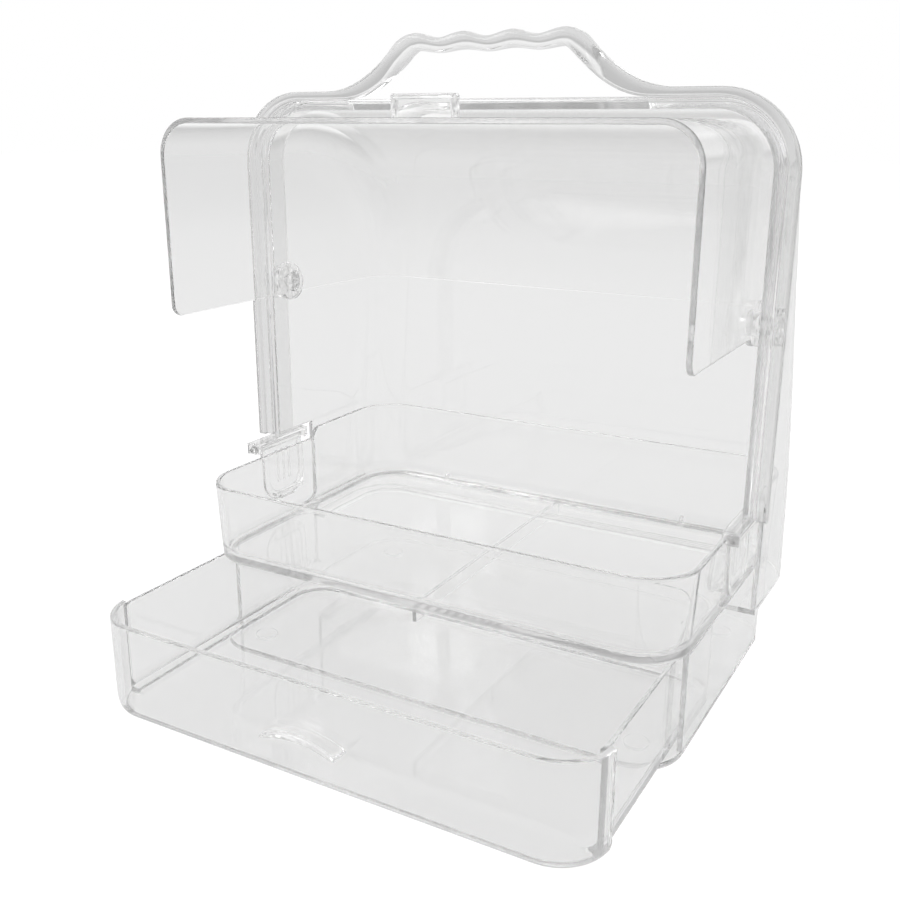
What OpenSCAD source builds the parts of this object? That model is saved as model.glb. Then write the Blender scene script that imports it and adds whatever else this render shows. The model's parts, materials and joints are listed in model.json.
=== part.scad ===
// Clear makeup organizer: a drawer housing with an open tray on top, and a tall
// cover whose roll-top lid turns inside a quarter-round roof. All sizes in mm.
// X runs across the front, Y from front to back, Z up from the surface it stands on.
// The lid is drawn open and the drawer is drawn pulled out. The origin lies under the
// middle of the whole object as drawn; the modules measure Y from the housing's front.

/* [Housing and tray] */
// Width of the drawer housing
base_w = 261; // [210:1:320]
// Depth of the drawer housing
base_d = 177; // [145:1:215]
// Radius of the upright corners of the housing
corner_r = 25; // [16:0.5:30]
// Wall of every clear moulding
wall = 2.5; // [2:0.1:3.2]
// Thickness of the housing's bottom plate
plate_t = 3; // [2.5:0.1:4]
// Height of the drawer bay
bay_h = 49.2; // [40:0.2:60]
// Depth of the tray, from its floor up to its front rim
tray_depth = 39.5; // [31:0.5:48]
// How far the tray's rear rim stands above its front rim
rear_rise = 5.8; // [3:0.2:8]
// How far the tray stands out past the housing at each side
tray_overhang = 2; // [1:0.1:2.5]
// How far the tray stands out past the housing in front
tray_ahead = 1; // [0.5:0.1:1.5]
// Depth of the rail under the middle of the tray
rail_h = 7.7; // [5:0.1:10]

/* [Drawer] */
// How far the drawer is pulled out
drawer_out = 82; // [60:1:100]
// Thickness of the drawer's curved front
front_t = 3; // [2.4:0.1:3.6]
// Wall of the drawer's tub
tub_wall = 2; // [1.6:0.1:2.4]
// Gap over the drawer's rim
drawer_top_gap = 0.4; // [0.3:0.1:0.6]
// Gap under the drawer
drawer_floor_gap = 0.8; // [0.5:0.1:1]
// Gap at each side of the drawer's front
drawer_side_gap = 1; // [0.6:0.1:1.5]
// Width of the arched pull
pull_w = 39; // [34:1:50]
// How far the pull stands out
pull_out = 9; // [7:0.5:12]

/* [Lid] */
// Length of the lid's straight part, from the hinge to its rim
lid_len = 94.3; // [78:0.1:114]
// Radius of the lid's rounded edges
lid_edge_r = 18; // [14:0.5:21]
// Gap between the lid and the roof
lid_gap = 4; // [3.2:0.1:5]
// Gap between the lid and the cover's side walls
lid_side_gap = 4.5; // [4:0.1:5.4]
// How far the shut lid stands out past the housing in front
lid_ahead = 2.5; // [2:0.1:3]
// How far the lid's side panels run past the hinge axis
lid_margin = 6.5; // [5:0.1:8]
// Gap between the shut lid and the tray rim, before the lid tips onto it
lid_drop = 2; // [1.8:0.1:2.4]
// Width of the lid's pull tab
tab_w = 32; // [26:1:38]
// Height of the lid's pull tab
tab_h = 10; // [8:0.5:12]

/* [Cover] */
// Height of the cover's lower edge above the surface
skirt_z = 43; // [36:0.5:48]
// Distance from the cover's front edge back to the hinge axis
cover_run = 9.5; // [9.3:0.1:12]
// Depth of the collar behind the frame
collar_d = 15; // [14:0.5:18]
// Distance from the cover's front edge back to the front edge of its lower sides
skirt_setback = 31; // [28:0.5:36]
// Radius of the cover's rounded roof edges
cover_edge_r = 29; // [26:0.5:30]
// How far the frame stands out at each side of the cover
frame_side = 9; // [7:0.5:11]
// How far the frame stands above the cover
frame_top = 6.6; // [5:0.1:9]
// Width of the raised bead along the frame's outer edge
bead_w = 4.5; // [3.5:0.1:5]
// Height of the handle above the frame
handle_h = 25; // [21:0.5:30]
// Width of the handle's grip
grip_w = 94; // [80:1:110]

/* [Fittings] */
// Diameter of the hinge pins
pin_d = 8; // [6:0.5:9]
// Diameter of the hinge pins' inner heads
head_d = 12; // [10.5:0.5:16]
// Diameter of the discs that keep the lid off the cover
spacer_d = 21; // [17:0.5:22]
// Diameter of the hinges' outer caps
cap_d = 17; // [14:0.5:18]
// Width of the side clips' tongues
clip_w = 36; // [30:1:40]
// Length of the side clips' tongues below their hinge
clip_len = 33; // [28:0.5:36]
// Diameter of the side clips' pins
clip_pin_d = 2.6; // [2.2:0.1:3]
// Height of the feet
foot_h = 2; // [1.6:0.1:3]
// Diameter of the feet
foot_d = 12; // [9:0.5:15]

/* [Hidden] */
$fn = 96;

left = -1;
right = 1;
over = 1;          // how far a cutting body runs past what it cuts
seat_gap = 0.2;    // between mouldings that rest on each other
run_gap = 0.1;     // radial gap of a pin in a bore that turns on it
press_gap = 0.02;  // radial gap of a pin in a bore that grips it
slide_gap = 0.5;   // between walls that pass each other
glue_gap = 0.1;    // film of glue between the drawer's front and its tub

// Heights, from the feet up
plate_z = foot_h;
bay_z = plate_z + plate_t;
tray_z = bay_z + bay_h;
tray_floor_z = tray_z + wall;
rim_z = tray_floor_z + tray_depth;
rear_rim_z = rim_z + rear_rise;
hinge_z = rim_z + lid_drop + lid_len;
ledge_t = 2.8;

// The tray's outline, and the ramp up to its rear rim
tray_w = base_w + 2 * tray_overhang;
tray_r = corner_r + tray_ahead;
ramp_ahead = 9;    // start of the ramp, ahead of the cover's lower sides
ramp_len = 7;

// The lid turns about an axis that sets its radius and the roof's
hinge_y = (base_d + slide_gap - lid_gap - lid_ahead) / 2;
cover_front = hinge_y - cover_run;
skirt_front = cover_front + skirt_setback;
lid_r = hinge_y + lid_ahead;
roof_in_r = lid_r + lid_gap;
roof_r = roof_in_r + wall;
ramp_y = skirt_front - ramp_ahead;
cover_gap = 4;     // between the tray's side walls and the cover
cover_in_w = tray_w + 2 * cover_gap;
cover_w = cover_in_w + 2 * wall;
lid_w = cover_in_w - 2 * lid_side_gap;
lid_ear_r = spacer_d / 2;
lid_foot_r = 6;    // rounding of the side panels' free corner

// The frame, with the handle on top
flange_t = 3;
bead_t = 2;
collar_t = 1.8;
collar_z = rear_rim_z + 1.5;
frame_w = cover_w + 2 * frame_side;
frame_z = hinge_z + roof_r + frame_top;
frame_r = cover_edge_r + 7;
grip_t = 12;
grip_end = 4;      // rounded end of the grip, at each side
hole_inset = 5;    // from the end of the crown in to the opening's flat part
crown_w = grip_w - 2 * grip_end;
hole_w = crown_w - 2 * hole_inset;
shoulder_w = 49;   // run of each shoulder, from the crown down to the frame
hole_shoulder_w = 42;
crown_slope = 1.2;    // rise at the end of the run, cut off at 1: more makes the crown's corner sharper
crown_blend = 0.15;   // share of the rise over which that corner is rounded
grip_h = 7.5;
hole_floor = 2.6;  // frame left under the finger opening
finger_pitch = 26;
finger_wave = 1.2;
outline_step = 1.5;

// The drawer, drawn shut and then moved
front_w = base_w - 2 * drawer_side_gap;
drawer_z = bay_z + drawer_floor_gap;
drawer_top = tray_z - drawer_top_gap;
tub_front = front_t + glue_gap;
tub_w = front_w - 2 * tub_front;
tub_r = corner_r - tub_front;
tub_end = base_d - wall - 4;
side_wall_y = corner_r - 2;    // front edge of the housing's side walls
return_y = side_wall_y - 1;    // rear edge of the drawer front's returns
tub_side_y = return_y - 3;     // front edge of the tub's side walls
notch_w = 5;
rail_w = 2;
rail_end_gap = 1;
pull_z = drawer_z + 23.7;
pull_rise = 4;
pull_t = 4;

// Hinges, measured outwards from the middle
lid_side_x = lid_w / 2;
cover_side_x = cover_w / 2;
cap_x = cover_side_x + collar_t + 2 * seat_gap;
cap_t = 3;
head_t = 3;
cap_lip = 1;

// Side clips
clip_y = cover_front - 1;
bracket_w = clip_w + 10;
bracket_in_x = tray_w / 2 + slide_gap;
bracket_out_x = bracket_in_x + 8;
bracket_top = collar_z - seat_gap;
bracket_h = 6.2;
bracket_wall = 1.4;
ear_t = 3;
clip_x = bracket_out_x - 2.8;
clip_z = bracket_top - bracket_wall - 2.8;
barrel_d = 5;
clip_t = 2.2;
clip_tongue_x = tray_w / 2 + 1.9;
clip_corner_r = 12;
catch_out = 1.5;
catch_h = 1.6;
hook_h = 3.2;
catch_z = clip_z - clip_len + hook_h + slide_gap;

foot_inset = 22;

// Middle of the whole object along Y, as drawn
mid_y = (hinge_y + roof_r - drawer_out - pull_out) / 2;

clear = [0.86, 0.88, 0.90, 0.45];
clear_edge = [0.74, 0.77, 0.80, 0.6];
soft_clear = [0.80, 0.80, 0.80, 0.7];

// ---- placing and outlines ----

// Puts the origin under the middle of the whole object
module placed() {
    translate([0, -mid_y, 0]) children();
}

// Rectangle of width w from y0 to y1 with four rounded corners
module slab_2d(w, y0, y1, r) {
    translate([-w / 2 + r, y0]) square([w - 2 * r, y1 - y0]);
    translate([-w / 2, y0 + r]) square([w, y1 - y0 - 2 * r]);
    for (x = [-w / 2 + r, w / 2 - r], y = [y0 + r, y1 - r])
        translate([x, y]) circle(r);
}

// The wall that stands on the edge of such a rectangle
module slab_ring_2d(w, y0, y1, r, t) {
    difference() {
        slab_2d(w, y0, y1, r);
        slab_2d(w - 2 * t, y0 + t, y1 - t, r - t);
    }
}

// Arch of width w from a flat bottom edge to a top with two rounded corners
module arch_2d(w, bottom, top, r) {
    translate([-w / 2, bottom]) square([w, top - r - bottom]);
    translate([-w / 2 + r, bottom]) square([w - 2 * r, top - bottom]);
    for (side = [left, right])
        translate([side * (w / 2 - r), top - r]) circle(r);
}

// Solid quarter-round hood about the hinge axis: a straight part that runs
// ahead, a quarter turn behind it, and a straight part that runs down
module hood(w, r, edge_r, ahead, ahead_drop, drop) {
    translate([0, hinge_y, hinge_z]) {
        rotate([90, 0, 0]) linear_extrude(ahead) arch_2d(w, -ahead_drop, r, edge_r);
        rotate([90, 0, 90]) rotate_extrude(angle = 90) rotate(-90) arch_2d(w, 0, r, edge_r);
        translate([0, 0, -drop]) linear_extrude(drop) arch_2d(w, 0, r, edge_r);
    }
}

// Upright bar along X whose section in Y and Z is given by points
module along_x(x0, x1, points) {
    translate([x0, 0, 0]) rotate([90, 0, 90]) linear_extrude(x1 - x0) polygon(points);
}

// Disc or rod along X, from x0 to x1 on one side
module rod_x(side, x0, x1, d) {
    translate([side * x0, hinge_y, hinge_z]) rotate([0, side * 90, 0]) cylinder(h = x1 - x0, d = d);
}

// ---- housing, tray and feet ----

module base_housing() {
    color(clear) placed() {
        translate([0, 0, plate_z]) linear_extrude(plate_t) slab_2d(base_w, 0, base_d, corner_r);
        difference() {
            translate([0, 0, bay_z]) linear_extrude(bay_h)
                slab_ring_2d(base_w, 0, base_d, corner_r, wall);
            translate([-base_w / 2 - over, -over, bay_z - over])
                cube([base_w + 2 * over, side_wall_y + over, bay_h + 2 * over]);
        }
        cover_ledge();
    }
}

// Ledge round the back of the housing that the cover stands on
module cover_ledge() {
    ledge_top = skirt_z - seat_gap;
    difference() {
        translate([0, 0, ledge_top - ledge_t]) linear_extrude(ledge_t)
            slab_2d(cover_w, 0, hinge_y + roof_r, cover_edge_r);
        translate([0, 0, ledge_top - ledge_t - over]) linear_extrude(ledge_t + 2 * over)
            slab_2d(base_w - wall, -over, base_d - wall / 2, corner_r);
        translate([-cover_w / 2 - over, -over, ledge_top - ledge_t - over])
            cube([cover_w + 2 * over, skirt_front + over, ledge_t + 2 * over]);
    }
}

module tray() {
    color(clear) placed() {
        translate([0, 0, tray_z]) linear_extrude(wall)
            slab_2d(tray_w, -tray_ahead, base_d, tray_r);
        tray_walls();
        tray_rail();
        tray_gussets();
        for (side = [left, right]) clip_catch(side);
    }
}

// Walls that rise behind the lid
module tray_walls() {
    difference() {
        translate([0, 0, tray_z]) linear_extrude(rear_rim_z - tray_z)
            slab_ring_2d(tray_w, -tray_ahead, base_d, tray_r, wall);
        along_x(-tray_w, tray_w, [
            [-tray_ahead - over, rim_z], [ramp_y, rim_z], [ramp_y + ramp_len, rear_rim_z],
            [ramp_y + ramp_len, rear_rim_z + over], [-tray_ahead - over, rear_rim_z + over]]);
    }
}

// Rail under the floor that keeps the drawer level and straight
module tray_rail() {
    rail_y0 = front_t + rail_end_gap;
    translate([-rail_w / 2, rail_y0, tray_z - rail_h])
        cube([rail_w, base_d - wall - rail_end_gap - rail_y0, rail_h]);
}

// Small gussets between the floor and the rear wall
module tray_gussets() {
    gusset = 4;
    gusset_y = base_d - wall;
    for (x = [-base_w * 0.3, base_w * 0.3])
        along_x(x - 1, x + 1, [
            [gusset_y, tray_floor_z], [gusset_y, tray_floor_z + gusset],
            [gusset_y - gusset, tray_floor_z]]);
}

// Rib on the outside of the tray that a side clip hooks under
module clip_catch(side) {
    catch_w = clip_w - 10;
    translate([side * (tray_w / 2 + catch_out / 2), clip_y, catch_z + catch_h / 2])
        cube([catch_out, catch_w, catch_h], center = true);
}

module foot(side, y) {
    color(soft_clear) placed()
        translate([side * (base_w / 2 - foot_inset), y, 0]) cylinder(h = foot_h, d = foot_d);
}

// ---- cover, frame and handle ----

module rear_cover() {
    color(clear) placed() difference() {
        cover_shell();
        for (side = [left, right])
            rod_x(side, cover_in_w / 2 - over, cover_side_x + over, pin_d + 2 * press_gap);
    }
}

module cover_shell() {
    front_run = hinge_y - cover_front;
    side_drop = hinge_z - collar_z;
    rear_drop = hinge_z - skirt_z;
    difference() {
        hood(cover_w, roof_r, cover_edge_r, front_run, side_drop, rear_drop);
        hood(cover_in_w, roof_in_r, cover_edge_r - wall, front_run + over, side_drop + over,
            rear_drop + over);
        // the lower sides start further back, behind the side clips
        translate([-cover_w / 2 - over, 0, skirt_z - over])
            cube([cover_w + 2 * over, skirt_front, collar_z - skirt_z + over]);
    }
}

module handle_frame() {
    color(clear_edge) placed() difference() {
        union() {
            frame_flange();
            frame_bead();
            frame_collar();
            handle_grip();
        }
        for (side = [left, right]) rod_x(side, cover_side_x - over, cap_x + over, pin_d + 2 * press_gap);
    }
}

// Stand an outline drawn in X and Z upright, from y0 back to y1
module upright(y0, y1) {
    translate([0, y1, 0]) rotate([90, 0, 0]) linear_extrude(y1 - y0) children();
}

module frame_flange() {
    upright(cover_front - flange_t, cover_front) difference() {
        frame_outline_2d();
        arch_2d(cover_in_w, collar_z - over, hinge_z + roof_in_r, cover_edge_r - wall);
        finger_hole_2d();
    }
}

// Raised bead along the outer edge, and the full width of the handle
module frame_bead() {
    upright(cover_front - flange_t - bead_t, cover_front - flange_t) difference() {
        frame_outline_2d();
        arch_2d(frame_w - 2 * bead_w, collar_z - over, frame_z - bead_w, frame_r - bead_w);
        finger_hole_2d();
    }
}

// Sleeve that grips the outside of the cover
module frame_collar() {
    collar_in_w = cover_w + 2 * seat_gap;
    upright(cover_front, cover_front + collar_d) difference() {
        arch_2d(collar_in_w + 2 * collar_t, collar_z, hinge_z + roof_r + seat_gap + collar_t,
            cover_edge_r + seat_gap + collar_t);
        arch_2d(collar_in_w, collar_z - over, hinge_z + roof_r + seat_gap, cover_edge_r + seat_gap);
    }
}

// Thick bar that the hand holds
module handle_grip() {
    grip_mid = cover_front - flange_t / 2;
    upright(grip_mid - grip_t / 2, grip_mid + grip_t / 2) intersection() {
        difference() {
            frame_outline_2d();
            finger_hole_2d();
        }
        translate([-grip_w / 2, frame_z + handle_h - grip_h - 2 * finger_wave])
            square([grip_w, grip_h + 4 * finger_wave]);
    }
}

module frame_outline_2d() {
    arch_2d(frame_w, collar_z, frame_z, frame_r);
    handle_reach = crown_w / 2 + shoulder_w;
    polygon(concat(
        [[handle_reach, frame_z - over], [-handle_reach, frame_z - over]],
        [for (x = [-handle_reach : outline_step : handle_reach]) [x, handle_edge(x)]],
        [[handle_reach, frame_z]]));
}

module finger_hole_2d() {
    hole_reach = hole_w / 2 + hole_shoulder_w;
    floor_z = frame_z - frame_top + hole_floor;
    polygon(concat(
        [for (x = [-hole_reach : outline_step : hole_reach]) [x, hole_edge(x)]],
        [[hole_reach, floor_z]]));
}

// Smooth step from 0 to 1
function ease(t) = let (u = max(0, min(1, t))) u * u * (3 - 2 * u);
// Rise from 0 at the foot of a shoulder to 1 on its top: it spreads at the foot and is round at the top
function shoulder(x, flat_w, run) = let (
        u = max(0, min(1, (flat_w / 2 + run - abs(x)) / run)),
        rise = crown_slope * u * u,
        near_top = max(crown_blend - abs(1 - rise), 0))
    min(1, rise) - near_top * near_top / (4 * crown_blend);
function fingers(x, half) = abs(x) < half ? finger_wave * cos(360 * (x / finger_pitch - 0.5)) : 0;
function finger_fade(x, flat_w) = ease((flat_w / 2 + finger_pitch / 4 - abs(x)) / (finger_pitch / 4));

// Height of the handle's top edge, with a bump for each finger
function handle_edge(x) = frame_z + handle_h * shoulder(x, crown_w, shoulder_w)
    + fingers(x, grip_w) * finger_fade(x, crown_w);

// Height of the finger opening's top edge
function hole_edge(x) = let (floor_z = frame_z - frame_top + hole_floor)
    floor_z + (frame_z + handle_h - grip_h - floor_z) * shoulder(x, hole_w, hole_shoulder_w)
    + 0.5 * fingers(x, hole_w) * finger_fade(x, hole_w);

// ---- drawer ----

module drawer_tub() {
    color(clear) placed() translate([0, -drawer_out, 0]) difference() {
        union() {
            translate([0, 0, drawer_z]) linear_extrude(tub_wall)
                slab_2d(tub_w, tub_front, tub_end, tub_r);
            difference() {
                translate([0, 0, drawer_z]) linear_extrude(drawer_top - drawer_z)
                    slab_ring_2d(tub_w, tub_front, tub_end, tub_r, tub_wall);
                translate([-tub_w / 2 - over, 0, drawer_z + tub_wall])
                    cube([tub_w + 2 * over, tub_side_y, drawer_top]);
            }
        }
        // notch in the rear wall that runs along the tray's rail
        translate([-notch_w / 2, tub_end - tub_wall - over, tray_z - rail_h - slide_gap])
            cube([notch_w, tub_wall + 2 * over, rail_h + over]);
    }
}

module drawer_front() {
    color(clear_edge) placed() translate([0, -drawer_out, 0]) difference() {
        translate([0, 0, drawer_z]) linear_extrude(drawer_top - drawer_z)
            slab_ring_2d(front_w, 0, base_d, corner_r, front_t);
        translate([-front_w / 2 - over, return_y, drawer_z - over])
            cube([front_w + 2 * over, base_d, drawer_top]);
    }
}

// Arched ledge with round ends
module drawer_pull() {
    arc_r = (pow(pull_w / 2, 2) + pow(pull_rise, 2)) / (2 * pull_rise);
    mid_r = arc_r - pull_t / 2;
    half_angle = asin((pull_w - pull_t) / 2 / mid_r);
    arc_z = pull_z - mid_r * cos(half_angle);
    color(clear_edge) placed() translate([0, -drawer_out, 0]) upright(-pull_out, 0) {
        intersection() {
            translate([0, arc_z]) difference() {
                circle(arc_r);
                circle(arc_r - pull_t);
            }
            translate([0, arc_z]) polygon([[0, 0],
                [-2 * arc_r * sin(half_angle), 2 * arc_r * cos(half_angle)],
                [2 * arc_r * sin(half_angle), 2 * arc_r * cos(half_angle)]]);
        }
        for (side = [left, right])
            translate([side * mid_r * sin(half_angle), pull_z]) circle(d = pull_t);
    }
}

// ---- lid ----

module lid() {
    color(clear) placed() difference() {
        union() {
            difference() {
                hood(lid_w, lid_r, lid_edge_r, lid_len, lid_margin, lid_margin);
                hood(lid_w - 2 * wall, lid_r - wall, lid_edge_r - wall, lid_len + over,
                    lid_margin + over, lid_margin + over);
                for (side = [left, right]) lid_corner_cut(side);
            }
            for (side = [left, right]) rod_x(side, lid_side_x - wall, lid_side_x, 2 * lid_ear_r);
        }
        for (side = [left, right])
            rod_x(side, lid_side_x - wall - over, lid_side_x + over, pin_d + 2 * run_gap);
    }
}

// Rounds the free lower corner of a side panel
module lid_corner_cut(side) {
    y0 = hinge_y - lid_len;
    z0 = hinge_z - lid_margin;
    translate([side * (lid_side_x - wall / 2), 0, 0]) difference() {
        translate([-wall, y0 - over, z0 - over])
            cube([2 * wall, lid_foot_r + over, lid_foot_r + over]);
        translate([-wall - over, y0 + lid_foot_r, z0 + lid_foot_r])
            rotate([0, 90, 0]) cylinder(h = 2 * (wall + over), r = lid_foot_r);
    }
}

// Hollow pull on the outside of the lid, near its rim
module lid_tab() {
    tab_y = hinge_y - lid_len + 21.5;
    tab_d = 6.5;
    tab_r = 2;
    tab_wall = 1.4;
    color(clear_edge) placed() translate([0, tab_y, hinge_z + lid_r]) difference() {
        linear_extrude(tab_h) slab_2d(tab_w, 0, tab_d, tab_r);
        translate([-tab_w / 2 + tab_wall, tab_wall, -over])
            cube([tab_w - 2 * tab_wall, tab_d - 2 * tab_wall, tab_h - tab_wall + over]);
    }
}

// ---- hinges ----

// Pin with a head inside the lid
module hinge_pin(side) {
    head_x = lid_side_x - wall - seat_gap - head_t;
    color(clear_edge) placed() {
        rod_x(side, head_x, head_x + head_t, head_d);
        rod_x(side, head_x + head_t, cap_x + cap_t - cap_lip, pin_d);
    }
}

// Disc between the lid and the cover
module hinge_spacer(side) {
    color(clear_edge) placed() difference() {
        rod_x(side, lid_side_x + seat_gap, cover_in_w / 2 - seat_gap / 2, spacer_d);
        rod_x(side, lid_side_x - over, cover_in_w / 2 + over, pin_d + 2 * press_gap);
    }
}

// Cap pressed on the end of the pin
module hinge_cap(side) {
    color(clear_edge) placed() difference() {
        rod_x(side, cap_x, cap_x + cap_t, cap_d);
        rod_x(side, cap_x - over, cap_x + cap_t - cap_lip, pin_d + 2 * press_gap);
    }
}

// ---- side clips ----

// Rod along Y at a clip's hinge
module rod_y(side, y0, y1, d) {
    translate([side * clip_x, y1, clip_z]) rotate([90, 0, 0]) cylinder(h = y1 - y0, d = d);
}

// Block under the frame with two ears that hold the clip's pin
module clip_bracket(side) {
    x0 = min(side * bracket_in_x, side * bracket_out_x);
    y0 = clip_y - bracket_w / 2;
    depth = bracket_out_x - bracket_in_x;
    color(clear_edge) placed() difference() {
        union() {
            translate([x0, y0, bracket_top - bracket_wall]) cube([depth, bracket_w, bracket_wall]);
            for (y = [y0, y0 + bracket_w - ear_t])
                translate([x0, y, bracket_top - bracket_h]) cube([depth, ear_t, bracket_h]);
        }
        rod_y(side, y0 - over, y0 + bracket_w + over, clip_pin_d + 2 * press_gap);
    }
}

module clip_pin(side) {
    color(clear_edge) placed() rod_y(side, clip_y - bracket_w / 2, clip_y + bracket_w / 2, clip_pin_d);
}

// Tongue with a barrel on top and a hook below
module side_clip(side) {
    barrel_w = bracket_w - 2 * ear_t - 2 * slide_gap;
    tongue_mid = clip_tongue_x + clip_t / 2;
    tongue_z = clip_z - clip_len;
    color(clear) placed() difference() {
        union() {
            rod_y(side, clip_y - barrel_w / 2, clip_y + barrel_w / 2, barrel_d);
            translate([side * tongue_mid, clip_y, 0]) rotate([90, 0, 90])
                translate([0, 0, -clip_t / 2]) linear_extrude(clip_t) tongue_2d(tongue_z);
            clip_web(side);
            clip_hook(side, tongue_z);
        }
        rod_y(side, clip_y - bracket_w, clip_y + bracket_w, clip_pin_d + 2 * run_gap);
    }
}

// Tongue seen from the side: flat top edge, two round lower corners
module tongue_2d(bottom) {
    top = clip_z + barrel_d / 2 - 0.5;
    mirror([0, 1]) arch_2d(clip_w, -top, -bottom, clip_corner_r);
}

// Bridge from the tongue to the barrel
module clip_web(side) {
    web_x = min(side * clip_tongue_x, side * clip_x);
    translate([web_x, clip_y - clip_w / 2, clip_z - 1])
        cube([abs(clip_x - clip_tongue_x), clip_w, 2]);
}

// Hook that holds under the catch
module clip_hook(side, bottom) {
    hook_in_x = tray_w / 2 + slide_gap / 2;
    hook_x = min(side * hook_in_x, side * clip_tongue_x);
    hook_w = clip_w - 2 * clip_corner_r;
    translate([hook_x, clip_y - hook_w / 2, bottom])
        cube([clip_tongue_x - hook_in_x, hook_w, hook_h]);
}

// ---- nodes ----

base_housing();
tray();
rear_cover();
handle_frame();
drawer_tub();
drawer_front();
drawer_pull();
lid();
lid_tab();
hinge_pin(left);  // hinge_pin_left
hinge_pin(right);  // hinge_pin_right
hinge_spacer(left);  // hinge_spacer_left
hinge_spacer(right);  // hinge_spacer_right
hinge_cap(left);  // hinge_cap_left
hinge_cap(right);  // hinge_cap_right
clip_bracket(left);  // clip_bracket_left
clip_bracket(right);  // clip_bracket_right
side_clip(left);  // side_clip_left
side_clip(right);  // side_clip_right
clip_pin(left);  // clip_pin_left
clip_pin(right);  // clip_pin_right
foot(left, foot_inset);  // foot_front_left
foot(right, foot_inset);  // foot_front_right
foot(left, base_d - foot_inset);  // foot_rear_left
foot(right, base_d - foot_inset);  // foot_rear_right
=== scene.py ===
# %% [markdown]
# # A clear makeup organizer in Blender
# The object is almost all clear moulded plastic, so its looks are its edges: a thin clear wall is nearly
# invisible where it is flat, and shows as a dark or bright line where it turns or ends. Each wall is
# therefore a real shell with two faces and a rounded rim, and the plastic bends light as the real one
# does.

# %% Load the frame
import json
import math
import bmesh
import bpy
import numpy as np
from mathutils import Matrix, Vector


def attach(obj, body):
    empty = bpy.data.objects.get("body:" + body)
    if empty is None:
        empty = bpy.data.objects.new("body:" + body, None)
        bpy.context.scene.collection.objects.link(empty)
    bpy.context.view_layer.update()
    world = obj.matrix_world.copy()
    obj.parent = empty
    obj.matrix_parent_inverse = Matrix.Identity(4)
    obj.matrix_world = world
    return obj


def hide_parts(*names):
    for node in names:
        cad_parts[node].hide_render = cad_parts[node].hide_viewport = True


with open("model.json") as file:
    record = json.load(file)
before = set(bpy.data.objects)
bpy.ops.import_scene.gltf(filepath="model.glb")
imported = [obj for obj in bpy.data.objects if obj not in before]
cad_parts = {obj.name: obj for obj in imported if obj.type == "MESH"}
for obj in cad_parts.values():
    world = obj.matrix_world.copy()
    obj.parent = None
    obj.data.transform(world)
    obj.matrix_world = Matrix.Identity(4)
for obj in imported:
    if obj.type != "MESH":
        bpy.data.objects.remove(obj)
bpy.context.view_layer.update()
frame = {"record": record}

record = frame["record"]
body_of_node = {n: body for body, nodes in record["behaviour"]["bodies"].items() for n in nodes}

# %% [markdown]
# ## Sizes
# All sizes are in millimetres, with Y measured from the front edge of the drawer housing, and are turned
# into metres in the shared frame at the very end. One place for each number keeps the pieces in step.

# %% Sizes in millimetres
FRONT_Y = 44.5                      # the housing's front edge lies this far ahead of the origin
HINGE_Y, HINGE_Z = 85.5, 192.5      # the lid's axis
WALL = 2.5                          # walls of housing, cover and lid
BASE_W, BASE_D, CORNER_R = 261.0, 177.0, 25.0
SIDE_WALL_Y = 23.0                  # the housing's side walls start here, behind the drawer's front
TRAY_W, TRAY_FRONT, TRAY_R = 265.0, -1.0, 26.0
TRAY_Z, TRAY_FLOOR_Z, RIM_Z, REAR_RIM_Z = 54.2, 56.7, 96.2, 102.0
COVER_W, COVER_FRONT, COVER_R, ROOF_R = 278.0, 76.0, 29.0, 94.5
COLLAR_Z, SKIRT_Z, SKIRT_FRONT = 103.5, 43.0, 107.0
LID_W, LID_LEN, LID_R, LID_EDGE_R = 264.0, 94.3, 88.0, 18.0
FRAME_W, FRAME_Z, FRAME_R = 296.0, 293.6, 36.0
DRAWER_OUT, DRAWER_W, DRAWER_Z, DRAWER_TOP_Z = 82.0, 259.0, 5.8, 53.8
RETURN_Y = 22.0                     # the drawer front's curved ends stop here, measured with the drawer shut
TUB_SIDE_Y = 19.0 - DRAWER_OUT      # the tub's side walls start here
CLIP_X, CLIP_Y, CLIP_Z = 138.2, 75.0, 99.1      # the left and right clips' axes


def metres(points):
    """Millimetres from the housing's front edge to metres in the shared frame."""
    moved = np.array(points, float)
    moved[..., 1] -= FRONT_Y
    return moved * 0.001


print("drawer out", DRAWER_OUT, "mm, tub sides from y =", TUB_SIDE_Y)

# %% [markdown]
# ## Outlines
# Every moulding starts from one of three flat outlines: an arc, a rectangle with round corners seen from
# above, and an arch seen from the front. Each is worked out as an array of points. An outline can be
# asked for at an inset, which moves it inwards while its corners keep their centres, as the inner face of
# a wall does.

# %% Arc, rounded rectangle and arch
def arc(cx, cy, r, start, stop, steps=12):
    """Points at (cx + r cos a, cy + r sin a), with the angle a going from start to stop in degrees."""
    a = np.radians(np.linspace(start, stop, steps + 1))
    return np.stack([cx + r * np.cos(a), cy + r * np.sin(a)], -1)


def round_rectangle(width, y0, y1, r, inset=0.0, side_stops=(), steps=14):
    """Closed outline seen from above, anticlockwise from the front left corner: four quarter circles whose
    radius is r less the inset, about centres that stay put, with extra points on the two long sides."""
    c, rad = max(r, inset), max(r - inset, 0.001)
    x, near, far = width / 2 - c, y0 + c, y1 - c
    stops = np.array(side_stops, float).reshape(-1)
    right = np.stack([np.full(stops.size, width / 2 - inset), stops], -1)
    return np.concatenate([
        arc(-x, near, rad, 180, 270, steps), arc(x, near, rad, 270, 360, steps), right,
        arc(x, far, rad, 0, 90, steps), arc(-x, far, rad, 90, 180, steps), right[::-1] * [-1, 1]])


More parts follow.
